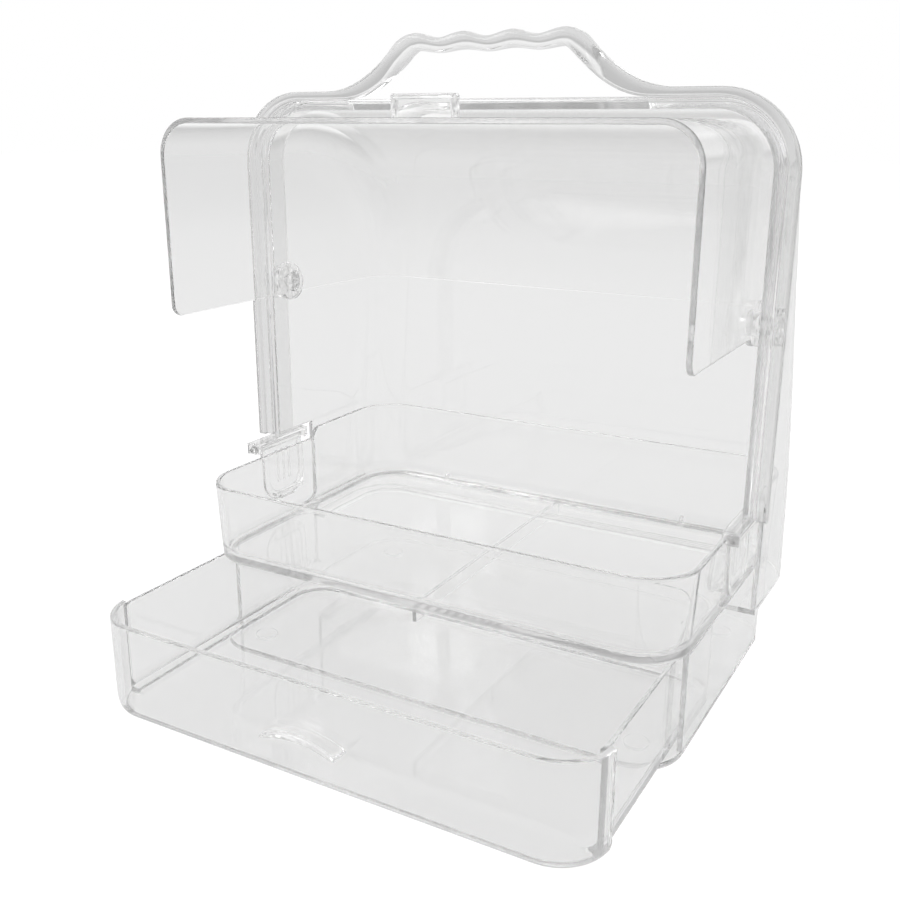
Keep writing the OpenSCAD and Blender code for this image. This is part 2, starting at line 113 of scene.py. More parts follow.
def arch(width, bottom, top, r, top_stops=(), steps=14):
    """Open outline seen from the front, from the bottom left, up, over two quarter circles, and down."""
    w = width / 2
    stops = np.array(top_stops, float).reshape(-1)
    crown = np.stack([stops, np.full(stops.size, top)], -1)
    return np.concatenate([
        [[-w, bottom]], arc(-w + r, top - r, r, 180, 90, steps), crown,
        arc(w - r, top - r, r, 90, 0, steps), [[w, bottom]]])


def smooth_step(t):
    """0 below 0, 1 above 1, and 3t^2 - 2t^3 between them."""
    u = np.clip(t, 0, 1)
    return u * u * (3 - 2 * u)


print("tray outline points", len(round_rectangle(TRAY_W, TRAY_FRONT, BASE_D, TRAY_R)))

# %% [markdown]
# ## Surfaces
# A surface is a grid of points: rows one way, columns the other. A grid whose rows close on themselves is
# a tube, and a flat face with many corners closes each end. Profiles carried round an outline give the
# open boxes, a profile turned about an axis gives pins and feet, and an outline pushed along gives
# plates.

# %% Grids, carried profiles, turned profiles and plates
def grid(rows, closed=True, caps=True):
    """Faces between neighbouring rows of points, closed round each row, with a flat face on both ends."""
    rows = np.asarray(rows, float)
    index = np.arange(rows.shape[0] * rows.shape[1]).reshape(rows.shape[:2])
    here, there = (index, np.roll(index, -1, 1)) if closed else (index[:, :-1], index[:, 1:])
    faces = np.stack([here[:-1], there[:-1], there[1:], here[1:]], -1).reshape(-1, 4).tolist()
    if caps:
        faces += [index[0][::-1].tolist(), index[-1].tolist()]
    return rows.reshape(-1, 3), faces


def open_box(outline, profile, lift=None):
    """Wall section carried round an outline. The profile is a list of (inset, z) that runs from under the
    floor, up the outside, over the rim and down the inside to the floor."""
    rows = []
    for inset, z in profile:
        xy = outline(inset)
        rows.append(np.column_stack([xy, np.full(len(xy), z)]))
    rows = np.array(rows)
    if lift is not None:
        rows[..., 2] += lift(rows[..., 1], rows[..., 2])
    return grid(rows)


def plate(outline, low, high, across):
    """A flat outline pushed from low to high along the axis named by across: its two other axes hold it."""
    o = np.asarray(outline, float)
    at = [c for c in range(3) if c != "xyz".index(across)]
    rows = np.zeros((2, len(o), 3))
    rows[:, :, at[0]], rows[:, :, at[1]] = o[:, 0], o[:, 1]
    rows[0, :, "xyz".index(across)], rows[1, :, "xyz".index(across)] = low, high
    return grid(rows)


def turned(profile, centre, across, steps=48):
    """A profile of (distance along, radius) turned about a line through centre along the axis across. A
    profile that returns to its first point gives a ring."""
    p = np.asarray(profile, float)
    a = np.linspace(0, 2 * np.pi, steps, endpoint=False)
    k = "xyz".index(across)
    at = [c for c in range(3) if c != k]
    rows = np.zeros((len(p), steps, 3))
    rows[..., k] = centre[k] + p[:, :1]
    rows[..., at[0]] = centre[at[0]] + p[:, 1:] * np.cos(a)
    rows[..., at[1]] = centre[at[1]] + p[:, 1:] * np.sin(a)
    return grid(rows, caps=not np.allclose(p[0], p[-1]))


def carried(path, section):
    """A closed section carried along an open path: section(i) gives the loop of points at path point i."""
    return grid([section(i) for i in range(len(path))])


def box(x0, x1, y0, y1, z0, z1):
    """A block between two corners, as an outline pushed up."""
    return plate([[x0, y0], [x1, y0], [x1, y1], [x0, y1]], z0, z1, "z")


def from_level(level, points):
    """Profile points given as (inset, height above a level)."""
    return [(inset, level + up) for inset, up in points]


def both_ways(side, near, far):
    """Two distances from the middle as low and high X: side is -1 on the left and 1 on the right."""
    return sorted((side * near, side * far))


print("helpers ready")

# %% [markdown]
# ## Putting a piece into the scene
# The points go into a mesh, doubles are merged and all faces turned outwards. A sheet gets its thickness
# from Solidify, Bevel rounds the edges that the mould would round, and Weighted Normal keeps the flat
# faces truly flat, because clear plastic shows every false curve in its shading.

# %% One function that makes a piece and puts it in the scene
SAME_POINT = 2e-6      # metres: points nearer than this are merged


def put(node, parts, material, wall=0.0, edge=0.0, inside=None, segments=3):
    """Joins parts of (points, faces) into one piece that stands for a CAD node and rides on its body.
    inside is a point that the faces of an open sheet look away from."""
    points, faces, count = [], [], 0
    for verts, polygons in parts:
        points.append(metres(verts))
        faces += [[v + count for v in f] for f in polygons]
        count += len(verts)
    mesh = bpy.data.meshes.new(node + "_clear")
    mesh.from_pydata(np.concatenate(points).tolist(), [], faces)
    bm = bmesh.new()
    bm.from_mesh(mesh)
    bmesh.ops.remove_doubles(bm, verts=bm.verts, dist=SAME_POINT)
    bmesh.ops.recalc_face_normals(bm, faces=bm.faces)
    if inside is not None:
        middle = metres(np.array([inside]))[0]
        away = sum(f.calc_area() * f.normal.dot(f.calc_center_median() - Vector(middle)) for f in bm.faces)
        if away < 0:
            bmesh.ops.reverse_faces(bm, faces=bm.faces)
    bm.to_mesh(mesh)
    bm.free()
    mesh.shade_smooth()
    piece = bpy.data.objects.new(node + "_clear", mesh)
    bpy.context.scene.collection.objects.link(piece)
    if wall:
        shell = piece.modifiers.new("wall", "SOLIDIFY")
        shell.thickness, shell.offset = wall * 0.001, -1
        shell.use_even_offset = shell.use_quality_normals = True
    if edge:
        bevel = piece.modifiers.new("edges", "BEVEL")
        bevel.width, bevel.segments = edge * 0.001, segments
        bevel.limit_method, bevel.angle_limit = "ANGLE", math.radians(40)
    flat = piece.modifiers.new("flat faces", "WEIGHTED_NORMAL")
    flat.weight, flat.keep_sharp = 90, True
    mesh.materials.append(material)
    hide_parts(node)
    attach(piece, body_of_node[node])
    print(piece.name, len(mesh.vertices), "points")
    return piece


# %% [markdown]
# ## Clear plastic
# Polystyrene is a glass-like plastic, so the Principled shader is set to full transmission with its index
# of refraction. Two effects are shared by all mouldings and are node groups: a faint ripple that the
# mould leaves, and handling marks that make the gloss a little uneven. Lamps would otherwise leave a
# black shadow behind refracting plastic, so for shadow and diffuse rays a Transparent shader stands in,
# and for a ray that has been turned back inside many times as well.

# %% Node groups for ripple and handling marks
def new_group(name, inputs, outputs):
    group = bpy.data.node_groups.new(name, "ShaderNodeTree")
    for label, value in inputs:
        group.interface.new_socket(label, in_out="INPUT", socket_type="NodeSocketFloat").default_value = value
    for label, kind in outputs:
        group.interface.new_socket(label, in_out="OUTPUT", socket_type=kind)
    return group, group.nodes.new("NodeGroupInput"), group.nodes.new("NodeGroupOutput")


def add_nodes(tree, *kinds):
    return [tree.nodes.new("ShaderNode" + kind) for kind in kinds]


def link(tree, pairs):
    for source, target in pairs:
        tree.links.new(source, target)


ripple, ins, outs = new_group("mould ripple", [("Size", 30.0), ("Depth", 0.2)],
                              [("Normal", "NodeSocketVector")])
where, noise, bump = add_nodes(ripple, "TexCoord", "TexNoise", "Bump")
noise.inputs["Detail"].default_value = 1.0
bump.inputs["Distance"].default_value = 0.0004
link(ripple, [(where.outputs["Object"], noise.inputs["Vector"]), (ins.outputs["Size"], noise.inputs["Scale"]),
              (ins.outputs["Depth"], bump.inputs["Strength"]), (noise.outputs["Fac"], bump.inputs["Height"]),
              (bump.outputs["Normal"], outs.inputs["Normal"])])

marks, ins, outs = new_group("handling marks", [("Size", 18.0), ("Clean", 0.015), ("Worn", 0.06)],
                             [("Roughness", "NodeSocketFloat")])
where, noise, span = add_nodes(marks, "TexCoord", "TexNoise", "MapRange")
noise.inputs["Detail"].default_value = 4.0
span.inputs["From Min"].default_value, span.inputs["From Max"].default_value = 0.48, 0.75
link(marks, [(where.outputs["Object"], noise.inputs["Vector"]), (ins.outputs["Size"], noise.inputs["Scale"]),
             (noise.outputs["Fac"], span.inputs["Value"]), (ins.outputs["Clean"], span.inputs["To Min"]),
             (ins.outputs["Worn"], span.inputs["To Max"]),
             (span.outputs["Result"], outs.inputs["Roughness"])])
print("node groups", len(bpy.data.node_groups))


# %% The clear plastics
LONGEST_PATH = 22      # bends after which a ray is let straight out, so that none is trapped and turns black
LET_OUT = 0.86         # how much of such a ray is left
PLASTIC_INDEX, FOOT_INDEX = 1.49, 1.2


def clear_plastic(name, tint, index, shadow, ripple_size=30.0, ripple_depth=0.2, clean=0.012, worn=0.05):
    material = bpy.data.materials.new(name)
    material.use_nodes = True
    tree = material.node_tree
    shader, output = tree.nodes["Principled BSDF"], tree.nodes["Material Output"]
    shader.inputs["Base Color"].default_value = (*tint, 1)
    shader.inputs["Transmission Weight"].default_value = 0.99
    shader.inputs["IOR"].default_value = index
    surface, gloss = add_nodes(tree, "Group", "Group")
    surface.node_tree, gloss.node_tree = ripple, marks
    surface.inputs["Size"].default_value, surface.inputs["Depth"].default_value = ripple_size, ripple_depth
    gloss.inputs["Clean"].default_value, gloss.inputs["Worn"].default_value = clean, worn
    path, deep, either = add_nodes(tree, "LightPath", "Math", "Math")
    deep.operation, either.operation = "GREATER_THAN", "MAXIMUM"
    deep.inputs[1].default_value = LONGEST_PATH
    through, let_out = add_nodes(tree, "BsdfTransparent", "BsdfTransparent")
    mix, last = add_nodes(tree, "MixShader", "MixShader")
    through.inputs["Color"].default_value = (*shadow, 1)
    let_out.inputs["Color"].default_value = (LET_OUT, LET_OUT, LET_OUT, 1)
    link(tree, [(surface.outputs["Normal"], shader.inputs["Normal"]),
                (gloss.outputs["Roughness"], shader.inputs["Roughness"]),
                (path.outputs["Is Shadow Ray"], either.inputs[0]),
                (path.outputs["Is Diffuse Ray"], either.inputs[1]),
                (path.outputs["Ray Depth"], deep.inputs[0]), (deep.outputs[0], last.inputs["Fac"]),
                (shader.outputs[0], last.inputs[1]), (let_out.outputs[0], last.inputs[2]),
                (either.outputs[0], mix.inputs["Fac"]), (last.outputs[0], mix.inputs[1]),
                (through.outputs[0], mix.inputs[2]), (mix.outputs[0], output.inputs["Surface"])])
    return material


thick = {"ripple_size": 40.0, "ripple_depth": 0.08}      # thick mouldings come out of the mould flatter
clear_shell = clear_plastic("clear moulding", (0.991, 0.991, 0.99), PLASTIC_INDEX, (0.985, 0.985, 0.985))
clear_solid = clear_plastic("clear thick moulding", (0.987, 0.987, 0.986), PLASTIC_INDEX, (0.98, 0.98, 0.98),
                            **thick)
clear_frame = clear_plastic("clear frame moulding", (0.865, 0.865, 0.864), PLASTIC_INDEX, (0.98, 0.98, 0.98),
                            **thick)
soft_clear = clear_plastic("soft clear feet", (0.99, 0.99, 0.99), FOOT_INDEX, (0.99, 0.99, 0.99), clean=0.03,
                           worn=0.08)
print("materials", [m.name for m in bpy.data.materials if m.users or m.node_tree])

# %% [markdown]
# ## Drawer housing
# A bottom plate with round corners, and a wall round three sides that stops short of the front corners to
# let the drawer's curved front close over it. A ledge round the back carries the cover. The wall is one
# U-shaped outline pushed up, which keeps its two front edges crisp: they are the dark upright lines at
# the drawer's sides.

# %% Housing
LEDGE_W, LEDGE_LOW, LEDGE_GAP = 9.4, 3.0, 0.2      # its width, and how far its two faces lie under the cover
WALL_FOOT_Z = 4.6                                  # the side walls start this low, inside the bottom plate


def u_wall(width, y1, r, start_y, thick, steps=14):
    """U-shaped outline seen from above: outer line from the right front end round the back to the left one,
    and the inner line back again."""
    w = width / 2
    outer = np.concatenate([[[w, start_y]], arc(w - r, y1 - r, r, 0, 90, steps),
                            arc(-w + r, y1 - r, r, 90, 180, steps), [[-w, start_y]]])
    inner = np.concatenate([[[w - thick, start_y]], arc(w - r, y1 - r, r - thick, 0, 90, steps),
                            arc(-w + r, y1 - r, r - thick, 90, 180, steps), [[-w + thick, start_y]]])
    return np.concatenate([outer, inner[::-1]])


def base_outline(inset):
    return round_rectangle(BASE_W, 0, BASE_D, CORNER_R, inset)


plate_section = [(1.2, 2.0), (0.35, 2.35), (0, 3.2), (0, 3.9), (0.3, 4.7), (1.0, 5.0)]
side_walls = u_wall(BASE_W, BASE_D, CORNER_R, SIDE_WALL_Y, WALL)
ledge = u_wall(COVER_W, HINGE_Y + ROOF_R, COVER_R, SKIRT_FRONT, LEDGE_W)
put("base_housing", [open_box(base_outline, plate_section), plate(side_walls, WALL_FOOT_Z, TRAY_Z, "z"),
                     plate(ledge, SKIRT_Z - LEDGE_LOW, SKIRT_Z - LEDGE_GAP, "z")], clear_shell, edge=0.5)

# %% [markdown]
# ## Tray
# An open box moulded with a little draft, so it is wider at its rim than at its floor. The rim rises in a
# short ramp behind the lid. Its section is carried round the outline, and a lift that depends on Y shapes
# the ramp.

# %% Tray
RAMP_START, RAMP_END = 98.0, 105.0      # the rim rises between these two places
LIFT_Z, LIFT_H = 62.0, 30.0             # up the wall, the lift grows from nothing to full over this height
RAIL_T, RAIL_Z = 2.0, 46.5              # the rail under the floor
GUSSET_X, GUSSET_T = 78.3, 2.0          # two small gussets at the rear wall
CATCH_Z, CATCH_TOP_Z = 69.8, 71.4       # the ribs that the side clips hook under


def tray_outline(inset):
    """The tray seen from above, with points close together on its sides where the rim's ramp is."""
    ramp = np.linspace(RAMP_START, RAMP_END, 8)
    stops = (60, 90, RAMP_START - 1, *ramp, RAMP_END + 1, 112, 130)
    return round_rectangle(TRAY_W, TRAY_FRONT, BASE_D, TRAY_R, inset, side_stops=stops)


def rim_lift(y, z):
    """Rise of the rim behind the lid: a smooth step along the ramp, which fades out down the wall."""
    along = smooth_step((y - RAMP_START) / (RAMP_END - RAMP_START))
    return (REAR_RIM_Z - RIM_Z) * along * np.clip((z - LIFT_Z) / LIFT_H, 0, 1)


foot_edge = from_level(TRAY_Z, [(4.2, 0), (2.7, 0.3), (2.05, 1.0), (1.9, 2.2)])
rim = from_level(RIM_Z, [(0.05, -1.6), (0.06, -0.9), (0.35, -0.3), (0.9, 0), (1.7, 0), (2.2, -0.3),
                         (2.48, -0.9), (2.5, -1.6)])
floor_fillet = from_level(TRAY_FLOOR_Z, [(4.2, 5.9), (4.6, 3.7), (5.6, 1.8), (7.5, 0.5), (10, 0.05),
                                         (12.5, 0)])
tray = [open_box(tray_outline, foot_edge + rim + floor_fillet, rim_lift),
        box(-RAIL_T / 2, RAIL_T / 2, 4, 173.5, RAIL_Z, TRAY_Z + 0.4)]
gusset = [[174, TRAY_FLOOR_Z - 0.4], [174, TRAY_FLOOR_Z + 4], [170.2, TRAY_FLOOR_Z],
          [170.2, TRAY_FLOOR_Z - 0.4]]
for side in (-1, 1):
    tray.append(plate(gusset, side * GUSSET_X - GUSSET_T / 2, side * GUSSET_X + GUSSET_T / 2, "x"))
for side in (-1, 1):
    tray.append(box(*both_ways(side, 130.6, 134), CLIP_Y - 13, CLIP_Y + 13, CATCH_Z, CATCH_TOP_Z))
put("tray", tray, clear_shell, edge=0.35)

# %% [markdown]
# ## Drawer
# The tub is an open box whose wall drops to floor level near the front, where the thicker curved front
# takes over. The front is one section carried round a U: its lower edge curves under. The pull is a flat
# arched ledge with round ends, a section carried along the arch.

# %% Drawer tub
TUB_W, TUB_FRONT, TUB_BACK, TUB_R = 252.8, 3.1, 170.5, 21.9
TUB_FLOOR_Z = DRAWER_Z + 2


def tub_outline(inset):
    """Rectangle with round corners, whose front corner arcs have two close points where the side wall
    starts."""
    w, r = TUB_W / 2 - TUB_R, TUB_R - inset
    near, far = TUB_FRONT + TUB_R - DRAWER_OUT, TUB_BACK - TUB_R - DRAWER_OUT
    start = 360 - math.degrees(math.asin((near - TUB_SIDE_Y) / r))
    half = np.concatenate([arc(w, near, r, 270, start - 0.5), arc(w, near, r, start + 0.5, 360, 3),
                           arc(w, far, r, 0, 90)])
    return np.concatenate([half, half[::-1] * [-1, 1]])


def tub_drop(y, z):
    """Behind the curved front there is no tub wall: all above the floor sinks to the floor's level."""
    return np.where(y < TUB_SIDE_Y, -1.0, 0.0) * np.clip(z - TUB_FLOOR_Z, 0, None)


under = from_level(TUB_FLOOR_Z, [(4.5, -2.0), (2.4, -1.7), (1.0, -1.1), (0.25, -0.5), (0, 0)])
rim = from_level(DRAWER_TOP_Z, [(0, -1.0), (0.1, -0.5), (0.5, -0.1), (1.0, 0), (1.5, -0.1), (1.9, -0.5),
                                (2.0, -1.0)])
fillet = from_level(TUB_FLOOR_Z, [(2.0, 7.2), (2.5, 4.4), (3.7, 2.2), (5.6, 0.8), (8.2, 0.1), (11.5, 0)])
put("drawer_tub", [open_box(tub_outline, under + rim + fillet, tub_drop)], clear_shell)

# %% Drawer front and pull
PULL_W, PULL_T, PULL_OUT = 38.8, 4.0, 9.0
PULL_END_X, PULL_END_Z, PULL_RISE = 17.5, 29.5, 3.34    # middle of its round ends, and the arch's rise above


def front_path(inset, steps=14):
    """U seen from above, at an inset: the two corner arcs, cut off at RETURN_Y, and the front."""
    w, r = DRAWER_W / 2 - CORNER_R, CORNER_R - inset
    start = 180 + math.degrees(math.asin((CORNER_R - RETURN_Y) / r))
    line = np.concatenate([arc(-w, CORNER_R, r, start, 270, steps),
                           arc(w, CORNER_R, r, 270, 540 - start, steps)])
    return line - [0, DRAWER_OUT]


front_section = from_level(DRAWER_TOP_Z, [(3.0, -0.6), (2.6, -0.05), (0.5, 0), (0.1, -0.3), (0, -0.8)])
front_section += from_level(DRAWER_Z, [(0, 6.7), (0.2, 4.6), (0.75, 2.4), (1.6, 0.9), (2.5, 0.1), (3.0, 0.1)])
paths = [(front_path(inset), z) for inset, z in front_section]
loops = np.array([np.column_stack([path, np.full(len(path), z)]) for path, z in paths])
put("drawer_front", [grid(loops.transpose(1, 0, 2))], clear_solid, edge=0.7)

span = np.linspace(-1, 1, 33)
ridge_x = PULL_W / 2 * span
ridge_z = PULL_END_Z + PULL_RISE * (1 - (ridge_x / PULL_END_X) ** 2)
half_t = PULL_T / 2 * np.sqrt(np.clip(1 - np.abs(span) ** 14, 0.03, 1))
around = np.linspace(0, 2 * np.pi, 20, endpoint=False)


def pull_loop(i):
    """Section of the pull: a flattened oval from the drawer's face out to its lip."""
    out, up = np.cos(around), np.sin(around)
    y = -DRAWER_OUT - PULL_OUT / 2 * (1 + np.sign(out) * np.abs(out) ** 0.6)
    z = ridge_z[i] + half_t[i] * np.sign(up) * np.abs(up) ** 0.7
    return np.stack([np.full(len(around), ridge_x[i]), y, z], -1)


put("drawer_pull", [carried(ridge_x, pull_loop)], clear_solid)

# %% [markdown]
# ## The two hoods
# Cover and lid are the same kind of shape: an arch pushed straight back, then turned a quarter about the
# hinge axis, then pushed down. The rounded roof is one grid. Each side is flat ahead, where it holds the
# hinge pin, so there it is two flat faces that leave the hole between them. Behind that the mouldings
# draw in a little towards the top, so that they come off their mould, and the side is a grid that can
# follow. Solidify then gives the wall.

# %% Hood surface
SPLIT_Y = SKIRT_FRONT      # the flat part of a side ends here
SPLIT_ROW = 7              # the roof grid's row whose lower end is at SPLIT_Y
PIN_HOLE_R = 4.1
CLOSE = 1e-6               # two heights nearer than this are the same


def hood_roof(width, r, edge_r, y_front, levels, steps=14, turns=24):
    """Arch section with its lower ends at the start of the round edges, carried along the spine: straight at
    the hinge's height plus radius, a quarter turn of y = sin, z = cos about the hinge, straight down through
    the levels. The turn has one row where the lower end of the section passes SPLIT_Y."""
    section = np.concatenate([arc(-width / 2 + edge_r, r - edge_r, edge_r, 180, 90, steps),
                              arc(width / 2 - edge_r, r - edge_r, edge_r, 90, 0, steps)])
    x, rho = section[:, 0], section[:, 1]
    at_split = np.arcsin((SPLIT_Y - HINGE_Y) / (r - edge_r))
    turn = np.concatenate([np.linspace(0, at_split, SPLIT_ROW)[:-1], np.linspace(at_split, np.pi / 2, turns)])
    rows = [np.stack([x, np.full_like(x, y_front), HINGE_Z + rho], -1)]
    rows += [np.stack([x, HINGE_Y + rho * np.sin(a), HINGE_Z + rho * np.cos(a)], -1) for a in turn]
    rows += [np.stack([x, HINGE_Y + rho, np.full_like(x, z)], -1) for z in levels]
    return np.array(rows)


def pin_hole(start, stop, steps=16):
    return arc(HINGE_Y, HINGE_Z, PIN_HOLE_R, start, stop, steps)


def hood(width, r, edge_r, y_front, levels, below, draw, strips=8):
    """Roof grid, and for each side two flat faces round the pin hole and a grid behind them. below is the
    flat part's lower outline in Y and Z, from SPLIT_Y to the front. draw(y, z) is what the half width
    gains."""
    rows = hood_roof(width, r, edge_r, y_front, levels)
    parts = [grid(rows, closed=False, caps=False)]
    edge = rows[:, 0, 1:]
    ahead, behind = edge[:SPLIT_ROW + 1], edge[SPLIT_ROW:]
    post = np.column_stack([np.full(len(behind), SPLIT_Y), behind[:, 1]])
    high = post[post[:, 1] >= HINGE_Z - CLOSE]
    low = post[(post[:, 1] <= HINGE_Z + CLOSE) & (post[:, 1] > below[0, 1] + CLOSE)]
    above = np.concatenate([[[y_front, HINGE_Z]], ahead, high[1:], pin_hole(0, 180)])
    under = np.concatenate([low, below, [[y_front, HINGE_Z]], pin_hole(180, 360)])
    across_side = post[:, None] + np.linspace(0, 1, strips + 1)[None, :, None] * (behind - post)[:, None]
    for x in (-width / 2, width / 2):
        for outline in (above, under):
            face = np.column_stack([np.full(len(outline), x), outline])
            parts.append((face, [list(range(len(face)))]))
        side = np.concatenate([np.full((*across_side.shape[:2], 1), x), across_side], -1)
        parts.append(grid(side, closed=False, caps=False))
    drawn = []
    for points, faces in parts:
        share = 1 + draw(points[:, 1], points[:, 2]) / (width / 2)
        drawn.append((points * np.column_stack([share, np.ones((len(points), 2))]), faces))
    return drawn

# %% Rear cover
DRAW_LENGTH = 50.0      # behind SPLIT_Y, the sides draw in over this length


def cover_draw(y, z):
    """Behind the flat part each side stands 5 mm further in at the top and 1.5 mm further out at its foot."""
    gain = np.interp(z, [45, 100, 150, 200], [1.5, 0.5, -2.0, -5.0])
    return smooth_step((y - SPLIT_Y) / DRAW_LENGTH) * gain


cover_low = np.array([[SPLIT_Y, COLLAR_Z], [COVER_FRONT, COLLAR_Z]])
cover_levels = [*np.linspace(HINGE_Z, COLLAR_Z, 7)[1:], *np.linspace(COLLAR_Z, SKIRT_Z, 5)[1:]]
cover = hood(COVER_W, ROOF_R, COVER_R, COVER_FRONT, cover_levels, cover_low, cover_draw)
put("rear_cover", cover, clear_shell, wall=WALL, edge=0.6, inside=(0, HINGE_Y, HINGE_Z))

# %% Lid and its tab
LID_LOW_Z, LID_FRONT = HINGE_Z - 6.5, HINGE_Y - LID_LEN
EAR_R, EAR_DIP = 10.5, 38.25      # the round ear under each pin hole starts this many degrees below level
LID_CORNER_R = 6.0
TAB_W, TAB_D, TAB_H, TAB_BACK = 32.0, 6.5, 10.0, 21.5


def lid_draw(y, z):
    """At the back each side of the lid stands 3.4 mm further in."""
    return -3.4 * smooth_step((y - SPLIT_Y) / DRAW_LENGTH)


ear = arc(HINGE_Y, HINGE_Z, EAR_R, -EAR_DIP, EAR_DIP - 180, 16)
corner = arc(LID_FRONT + LID_CORNER_R, LID_LOW_Z + LID_CORNER_R, LID_CORNER_R, 270, 180, 6)
lid_under = np.concatenate([[[SPLIT_Y, LID_LOW_Z]], ear, corner])
lid = hood(LID_W, LID_R, LID_EDGE_R, LID_FRONT, [LID_LOW_Z], lid_under, lid_draw)
put("lid", lid, clear_shell, wall=WALL, edge=0.6, inside=(0, HINGE_Y, HINGE_Z))


def tab_outline(inset):
    return round_rectangle(TAB_W, LID_FRONT + TAB_BACK, LID_FRONT + TAB_BACK + TAB_D, 1.5, inset, steps=4)


tab_section = from_level(HINGE_Z + LID_R, [(1.0, TAB_H), (0.3, TAB_H - 0.2), (0, TAB_H - 0.8), (0, 0),
                                           (1.4, 0), (1.4, TAB_H - 1.4)])
put("lid_tab", [open_box(tab_outline, tab_section)], clear_shell)

# %% [markdown]
# ## Frame and handle
# The frame is a flat band round the cover's opening with a raised bead along its outer edge, and a thin
# sleeve behind it that grips the cover. The handle rises from the frame's top and leaves a hole for the
# fingers, and its crown has soft bumps. Band and handle are two strips of points carried along the whole
# arch. Between the two, where the hole is, each strip is closed by itself.

# %% Frame band, collar and handle bar
CROWN_W, SHOULDER_W, HANDLE_H = 86.0, 49.0, 25.0            # outer edge of the handle
HOLE_W, HOLE_SHOULDER_W, HOLE_RISE = 76.0, 42.0, 21.5       # upper edge of the finger hole
CROWN_SLOPE, CROWN_BLEND = 1.2, 0.15
BUMP_W, BUMP_H, BUMP_FADE = 26.0, 1.2, 6.5
GRIP_HALF, GRIP_FADE = 60.0, 14.0                           # the bar is thick over this half width
SLEEVE_GAP, SLEEVE_T = 0.2, 2.0
BAND_SHARE = 0.56                                           # the band's share of the frame's width
BAND_Y, BACK_Y, SLEEVE_Y = 73.0, 75.9, 91.0                 # front of the band, its back, the sleeve's end


def shoulder(x, flat, run):
    """1 over the flat part and 0 at the foot: slope times u^2 with u going from 0 to 1 up the run, joined
    softly to 1."""
    rise = CROWN_SLOPE * np.clip((flat / 2 + run - np.abs(x)) / run, 0, 1) ** 2
    near_top = np.clip(CROWN_BLEND - np.abs(1 - rise), 0, None)
    return np.minimum(1, rise) - near_top ** 2 / (4 * CROWN_BLEND)


def bumps(x, half_width):
    """Finger bumps as a cosine wave that fades out at the ends."""
    fade = smooth_step((half_width + BUMP_FADE - np.abs(x)) / BUMP_FADE)
    return BUMP_H * np.cos(2 * np.pi * (x / BUMP_W - 0.5)) * fade


top_stops = np.linspace(-92, 92, 185)
roof_z = HINGE_Z + ROOF_R
inner_line = arch(COVER_W - 2 * WALL, COLLAR_Z, roof_z - WALL, COVER_R - WALL, top_stops)
sleeve_in = arch(COVER_W + 2 * SLEEVE_GAP, COLLAR_Z, roof_z + SLEEVE_GAP, COVER_R + SLEEVE_GAP, top_stops)
sleeve_out = arch(COVER_W + 2 * SLEEVE_T, COLLAR_Z, roof_z + SLEEVE_T, COVER_R + SLEEVE_T, top_stops)
outer_line = arch(FRAME_W, COLLAR_Z, FRAME_Z, FRAME_R, top_stops)
middle_line = inner_line + BAND_SHARE * (outer_line - inner_line)
on_top = np.abs(outer_line[:, 0]) < CROWN_W / 2 + SHOULDER_W + 0.5
x_top = outer_line[on_top, 0]
outer_line[on_top, 1] += HANDLE_H * shoulder(x_top, CROWN_W, SHOULDER_W) + bumps(x_top, CROWN_W / 2)
bar_low = middle_line.copy()
low_bumps = 0.5 * bumps(x_top, HOLE_W / 2) * (np.abs(x_top) < GRIP_HALF)
bar_low[on_top, 1] += HOLE_RISE * shoulder(x_top, HOLE_W, HOLE_SHOULDER_W) + low_bumps
grip = np.zeros(len(outer_line))
grip[on_top] = smooth_step((GRIP_HALF - np.abs(x_top)) / GRIP_FADE)


def strip(stations):
    """Rows of points, one for each place along the arch. A station is a line in X and Z, or a share between
    two lines, with its Y, which may change along the arch."""
    columns = []
    for line_a, line_b, share, y in stations:
        xz = line_a + share * (line_b - line_a)
        columns.append(np.column_stack([xz[:, 0], np.broadcast_to(y, len(xz)), xz[:, 1]]))
    return np.stack(columns, 1)


def swell(thin, thick):
    """A value that is thin on the frame and thick where the hand grips it."""
    return thin + (thick - thin) * grip


# from the middle line in front, over the opening's edge, back along the sleeve to the middle line
band = [(middle_line, inner_line, 0, BAND_Y), (middle_line, inner_line, 0.93, BAND_Y)]
band += [(inner_line, inner_line, 0, y) for y in (BAND_Y + 0.5, BACK_Y)]
band += [(sleeve_in, sleeve_out, share, y) for share, y in (
    (0, BACK_Y), (0, SLEEVE_Y - 0.3), (0.2, SLEEVE_Y), (0.75, SLEEVE_Y), (1, SLEEVE_Y - 0.4), (1, BACK_Y))]
band += [(middle_line, middle_line, 0, BACK_Y)]
inner_strip = strip(band)

# shares from the hole's edge to the outer edge, and Y: each on the frame and at the grip, from the back,
# over the outer edge, to the bead or the grip in front
bar = [((0, 0), (BACK_Y, BACK_Y)), ((0.03, 0.08), (75.95, 79.4)), ((0.5, 0.3), (76.0, 80.3)),
       ((0.8, 0.7), (76.0, 80.3)), ((0.93, 0.92), (75.8, 79.4)), ((1, 1), (75.2, 76.5)),
       ((1, 1), (71.9, 72.5)), ((0.95, 0.92), (71.2, 69.6)), ((0.85, 0.7), (71.0, 68.7)),
       ((0.2, 0.3), (71.0, 68.7)), ((0.12, 0.15), (71.4, 69.1)), ((0.07, 0.08), (72.7, 69.6)),
       ((0, 0), (BAND_Y, BAND_Y))]
outer_strip = strip([(bar_low, outer_line, swell(*share)[:, None], swell(*y)) for share, y in bar])

